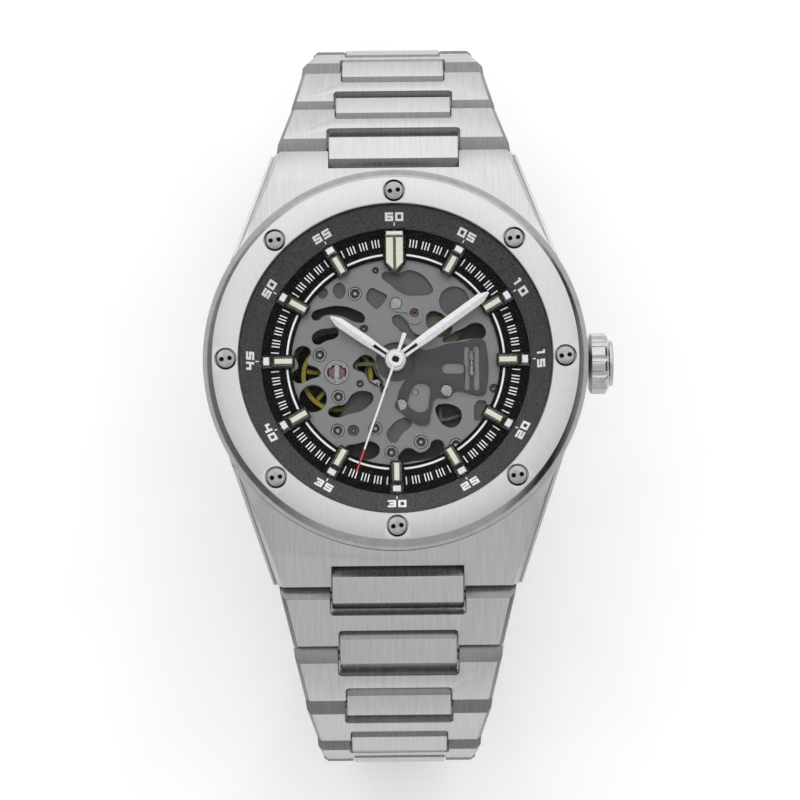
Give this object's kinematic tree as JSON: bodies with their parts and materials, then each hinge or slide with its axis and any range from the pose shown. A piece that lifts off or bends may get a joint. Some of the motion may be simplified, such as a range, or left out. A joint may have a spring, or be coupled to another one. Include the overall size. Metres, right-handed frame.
{
  "type": "skeleton wristwatch",
  "caption": "Skeleton wristwatch: round case with a screwed bezel, open-worked movement under the hands, fluted crown and a tapering link bracelet closed by a butterfly clasp.",
  "frame": {"origin": "centre of the case back's outer face", "axes": "+Z out through the dial, +Y towards twelve o'clock, +X towards the crown at three o'clock"},
  "size_m": [0.0471, 0.0874, 0.0518],
  "materials": {
    "brushed_case": "brushed",
    "clasp_steel": "satin",
    "polished_steel": "polished",
    "sapphire": "clear",
    "chapter_grey": "satin",
    "dial_black": "satin",
    "plate_grey": "matt",
    "cover_dark": "matt",
    "ruby": "polished",
    "gilt": "satin",
    "blued_steel": "blued",
    "gear_steel": "satin",
    "hand_steel": "faceted",
    "hand_white": "satin",
    "rotor_metal": "satin",
    "gasket_rubber": "matt"
  },
  "bodies": {
    "case": {"mid_case": "brushed_case", "bezel": "brushed_case", "bezel_screws": "polished_steel", "crystal": "sapphire", "case_back": "brushed_case", "case_back_crystal": "sapphire", "case_back_screws": "polished_steel", "end_links": "brushed_case", "chapter_ring": "chapter_grey", "dial_ring": "dial_black", "hour_markers": "polished_steel", "main_plate": "plate_grey", "jewels": "ruby", "movement_screws": "polished_steel", "keyless_cover": "cover_dark", "train_bridge": "plate_grey", "escapement_bridges": "plate_grey"},
    "crown_slide": {"crown_gasket": "gasket_rubber"},
    "crown": {"crown": "polished_steel", "winding_stem": "polished_steel"},
    "seconds": {"fourth_wheel": "gilt", "seconds_hand": "hand_white"},
    "minutes": {"centre_wheel": "gilt", "minute_hand": "hand_steel"},
    "hours": {"hour_wheel": "gilt", "hour_hand": "hand_steel"},
    "third": {"third_wheel": "gilt"},
    "escape": {"escape_wheel": "gear_steel"},
    "pallet": {"pallet_fork": "gear_steel"},
    "balance": {"balance_wheel": "gilt", "hairspring": "blued_steel"},
    "barrel": {"mainspring_barrel": "gilt"},
    "rotor": {"rotor": "rotor_metal"},
    "link_12_01": {"link_12_01": "brushed_case"},
    "link_12_02": {"link_12_02": "brushed_case"},
    "link_12_03": {"link_12_03": "brushed_case"},
    "link_12_04": {"link_12_04": "brushed_case"},
    "link_12_05": {"link_12_05": "brushed_case"},
    "link_12_06": {"link_12_06": "brushed_case"},
    "link_12_07": {"link_12_07": "brushed_case"},
    "link_12_08": {"link_12_08": "brushed_case"},
    "link_12_09": {"link_12_09": "brushed_case"},
    "link_12_10": {"link_12_10": "brushed_case"},
    "link_12_11": {"link_12_11": "brushed_case"},
    "link_6_01": {"link_6_01": "brushed_case"},
    "link_6_02": {"link_6_02": "brushed_case"},
    "link_6_03": {"link_6_03": "brushed_case"},
    "link_6_04": {"link_6_04": "brushed_case"},
    "link_6_05": {"link_6_05": "brushed_case"},
    "link_6_06": {"link_6_06": "brushed_case"},
    "link_6_07": {"link_6_07": "brushed_case"},
    "link_6_08": {"link_6_08": "brushed_case"},
    "link_6_09": {"link_6_09": "brushed_case"},
    "link_6_10": {"link_6_10": "brushed_case"},
    "link_6_11": {"link_6_11": "brushed_case"},
    "clasp_arm_12": {"clasp_arm_12": "clasp_steel"},
    "clasp_base": {"clasp_base": "clasp_steel"},
    "clasp_arm_6": {"clasp_arm_6": "clasp_steel"},
    "button_right": {"clasp_button_right": "polished_steel"},
    "button_left": {"clasp_button_left": "polished_steel"}
  },
  "joints": [
    {"name": "seconds_turn", "type": "hinge", "parent": "case", "child": "seconds", "pos_m": [0, 0, 0.01], "axis": [0, 0, -1], "continuous": true},
    {"name": "minutes_turn", "type": "hinge", "parent": "case", "child": "minutes", "pos_m": [0, 0, 0.0096], "axis": [0, 0, -1], "continuous": true},
    {"name": "hours_turn", "type": "hinge", "parent": "case", "child": "hours", "pos_m": [0, 0, 0.0092], "axis": [0, 0, -1], "continuous": true},
    {"name": "third_turn", "type": "hinge", "parent": "case", "child": "third", "pos_m": [0.00507, -0.00185, 0.0055], "axis": [0, 0, -1], "continuous": true},
    {"name": "escape_turn", "type": "hinge", "parent": "case", "child": "escape", "pos_m": [-0.00198, -0.00343, 0.006], "axis": [0, 0, -1], "continuous": true},
    {"name": "barrel_turn", "type": "hinge", "parent": "case", "child": "barrel", "pos_m": [0.00244, 0.00671, 0.006], "axis": [0, 0, -1], "continuous": true},
    {"name": "pallet_rock", "type": "hinge", "parent": "case", "child": "pallet", "pos_m": [-0.00411, -0.00243, 0.0061], "axis": [0, 0, 1], "range_deg": [-5, 5]},
    {"name": "balance_swing", "type": "hinge", "parent": "case", "child": "balance", "pos_m": [-0.00676, -0.00119, 0.0055], "axis": [0, 0, 1], "range_deg": [-270, 270], "stiffness_Nm_per_rad": 0.0000005},
    {"name": "rotor_turn", "type": "hinge", "parent": "case", "child": "rotor", "pos_m": [0, 0, 0.0025], "axis": [0, 0, 1], "continuous": true},
    {"name": "crown_pull", "type": "slide", "parent": "case", "child": "crown_slide", "axis": [1, 0, 0], "range_m": [0, 0.0014]},
    {"name": "crown_turn", "type": "hinge", "parent": "crown_slide", "child": "crown", "pos_m": [0.0236, 0, 0.0056], "axis": [1, 0, 0], "continuous": true},
    {"name": "link_12_01_turn", "type": "hinge", "parent": "case", "child": "link_12_01", "pos_m": [0, 0.02627, 0.00291], "axis": [-1, 0, 0], "range_deg": [-0.57, 1.84]},
    {"name": "link_12_02_turn", "type": "hinge", "parent": "link_12_01", "child": "link_12_02", "pos_m": [0, 0.03185, -0.00195], "axis": [-1, 0, 0], "range_deg": [-0.57, 0.92]},
    {"name": "link_12_03_turn", "type": "hinge", "parent": "link_12_02", "child": "link_12_03", "pos_m": [0, 0.03735, -0.0069], "axis": [-1, 0, 0], "range_deg": [-1.63, 0.57]},
    {"name": "link_12_04_turn", "type": "hinge", "parent": "link_12_03", "child": "link_12_04", "pos_m": [0, 0.04036, -0.01366], "axis": [-1, 0, 0], "range_deg": [-3.28, 0.57]},
    {"name": "link_12_05_turn", "type": "hinge", "parent": "link_12_04", "child": "link_12_05", "pos_m": [0, 0.04177, -0.02092], "axis": [-1, 0, 0], "range_deg": [-4.79, 0.57]},
    {"name": "link_12_06_turn", "type": "hinge", "parent": "link_12_05", "child": "link_12_06", "pos_m": [0, 0.04049, -0.02821], "axis": [-1, 0, 0], "range_deg": [-5.99, 0.57]},
    {"name": "link_12_07_turn", "type": "hinge", "parent": "link_12_06", "child": "link_12_07", "pos_m": [0, 0.03593, -0.03404], "axis": [-1, 0, 0], "range_deg": [-6.95, 0.57]},
    {"name": "link_12_08_turn", "type": "hinge", "parent": "link_12_07", "child": "link_12_08", "pos_m": [0, 0.02922, -0.03717], "axis": [-1, 0, 0], "range_deg": [-7.92, 0.57]},
    {"name": "link_12_09_turn", "type": "hinge", "parent": "link_12_08", "child": "link_12_09", "pos_m": [0, 0.02188, -0.03807], "axis": [-1, 0, 0], "range_deg": [-8.9, 0.57]},
    {"name": "link_12_10_turn", "type": "hinge", "parent": "link_12_09", "child": "link_12_10", "pos_m": [0, 0.01448, -0.03807], "axis": [-1, 0, 0], "range_deg": [-9.32, 0.57]},
    {"name": "link_12_11_turn", "type": "hinge", "parent": "link_12_10", "child": "link_12_11", "pos_m": [0, 0.00708, -0.03807], "axis": [-1, 0, 0], "range_deg": [-8.72, 0.57]},
    {"name": "link_6_01_turn", "type": "hinge", "parent": "case", "child": "link_6_01", "pos_m": [0, -0.02627, 0.00291], "axis": [1, 0, 0], "range_deg": [-0.57, 1.82]},
    {"name": "link_6_02_turn", "type": "hinge", "parent": "link_6_01", "child": "link_6_02", "pos_m": [0, -0.0328, -0.00057], "axis": [1, 0, 0], "range_deg": [-0.57, 1.07]},
    {"name": "link_6_03_turn", "type": "hinge", "parent": "link_6_02", "child": "link_6_03", "pos_m": [0, -0.03794, -0.00589], "axis": [1, 0, 0], "range_deg": [-1.27, 0.57]},
    {"name": "link_6_04_turn", "type": "hinge", "parent": "link_6_03", "child": "link_6_04", "pos_m": [0, -0.04141, -0.01242], "axis": [1, 0, 0], "range_deg": [-2.77, 0.57]},
    {"name": "link_6_05_turn", "type": "hinge", "parent": "link_6_04", "child": "link_6_05", "pos_m": [0, -0.04219, -0.01978], "axis": [1, 0, 0], "range_deg": [-4.5, 0.57]},
    {"name": "link_6_06_turn", "type": "hinge", "parent": "link_6_05", "child": "link_6_06", "pos_m": [0, -0.04015, -0.0269], "axis": [1, 0, 0], "range_deg": [-6.28, 0.57]},
    {"name": "link_6_07_turn", "type": "hinge", "parent": "link_6_06", "child": "link_6_07", "pos_m": [0, -0.03549, -0.03265], "axis": [1, 0, 0], "range_deg": [-7.83, 0.57]},
    {"name": "link_6_08_turn", "type": "hinge", "parent": "link_6_07", "child": "link_6_08", "pos_m": [0, -0.02908, -0.03635], "axis": [1, 0, 0], "range_deg": [-8.81, 0.57]},
    {"name": "link_6_09_turn", "type": "hinge", "parent": "link_6_08", "child": "link_6_09", "pos_m": [0, -0.02187, -0.03801], "axis": [1, 0, 0], "range_deg": [-9.03, 0.57]},
    {"name": "link_6_10_turn", "type": "hinge", "parent": "link_6_09", "child": "link_6_10", "pos_m": [0, -0.01448, -0.0384], "axis": [1, 0, 0], "range_deg": [-8.48, 0.57]},
    {"name": "link_6_11_turn", "type": "hinge", "parent": "link_6_10", "child": "link_6_11", "pos_m": [0, -0.00708, -0.0384], "axis": [1, 0, 0], "range_deg": [-7.47, 0.57]},
    {"name": "arm_12_turn", "type": "hinge", "parent": "link_12_11", "child": "clasp_arm_12", "pos_m": [0, 0.00208, -0.03807], "axis": [-1, 0, 0], "range_deg": [-0.57, 1.32]},
    {"name": "clasp_unfold", "type": "hinge", "parent": "clasp_arm_12", "child": "clasp_base", "pos_m": [0, 0.021, -0.0345], "axis": [-1, 0, 0], "range_deg": [0, 50]},
    {"name": "arm_6_turn", "type": "hinge", "parent": "clasp_base", "child": "clasp_arm_6", "pos_m": [0, -0.021, -0.0345], "axis": [-1, 0, 0], "range_deg": [-0.57, 50.57]},
    {"name": "button_right_press", "type": "slide", "parent": "clasp_base", "child": "button_right", "axis": [-1, 0, 0], "range_m": [0, 0.0006], "stiffness_N_per_m": 400},
    {"name": "button_left_press", "type": "slide", "parent": "clasp_base", "child": "button_left", "axis": [1, 0, 0], "range_m": [0, 0.0006], "stiffness_N_per_m": 400}
  ],
  "couplings": [
    {"joint": "minutes_turn", "follows": "seconds_turn", "ratio": 0.016667},
    {"joint": "hours_turn", "follows": "seconds_turn", "ratio": 0.0013889},
    {"joint": "third_turn", "follows": "seconds_turn", "ratio": -0.13333},
    {"joint": "escape_turn", "follows": "seconds_turn", "ratio": -10},
    {"joint": "barrel_turn", "follows": "seconds_turn", "ratio": -0.0027778},
    {"joint": "link_12_01_turn", "follows": "clasp_unfold", "ratio": 0.0254},
    {"joint": "link_12_02_turn", "follows": "clasp_unfold", "ratio": 0.007},
    {"joint": "link_12_03_turn", "follows": "clasp_unfold", "ratio": -0.0212},
    {"joint": "link_12_04_turn", "follows": "clasp_unfold", "ratio": -0.0542},
    {"joint": "link_12_05_turn", "follows": "clasp_unfold", "ratio": -0.0844},
    {"joint": "link_12_06_turn", "follows": "clasp_unfold", "ratio": -0.1084},
    {"joint": "link_12_07_turn", "follows": "clasp_unfold", "ratio": -0.1276},
    {"joint": "link_12_08_turn", "follows": "clasp_unfold", "ratio": -0.147},
    {"joint": "link_12_09_turn", "follows": "clasp_unfold", "ratio": -0.1666},
    {"joint": "link_12_10_turn", "follows": "clasp_unfold", "ratio": -0.175},
    {"joint": "link_12_11_turn", "follows": "clasp_unfold", "ratio": -0.163},
    {"joint": "link_6_01_turn", "follows": "clasp_unfold", "ratio": 0.025},
    {"joint": "link_6_02_turn", "follows": "clasp_unfold", "ratio": 0.01},
    {"joint": "link_6_03_turn", "follows": "clasp_unfold", "ratio": -0.014},
    {"joint": "link_6_04_turn", "follows": "clasp_unfold", "ratio": -0.044},
    {"joint": "link_6_05_turn", "follows": "clasp_unfold", "ratio": -0.0786},
    {"joint": "link_6_06_turn", "follows": "clasp_unfold", "ratio": -0.1142},
    {"joint": "link_6_07_turn", "follows": "clasp_unfold", "ratio": -0.1452},
    {"joint": "link_6_08_turn", "follows": "clasp_unfold", "ratio": -0.1648},
    {"joint": "link_6_09_turn", "follows": "clasp_unfold", "ratio": -0.1692},
    {"joint": "link_6_10_turn", "follows": "clasp_unfold", "ratio": -0.1582},
    {"joint": "link_6_11_turn", "follows": "clasp_unfold", "ratio": -0.138},
    {"joint": "arm_12_turn", "follows": "clasp_unfold", "ratio": 0.015},
    {"joint": "arm_6_turn", "follows": "clasp_unfold", "ratio": 1}
  ]
}
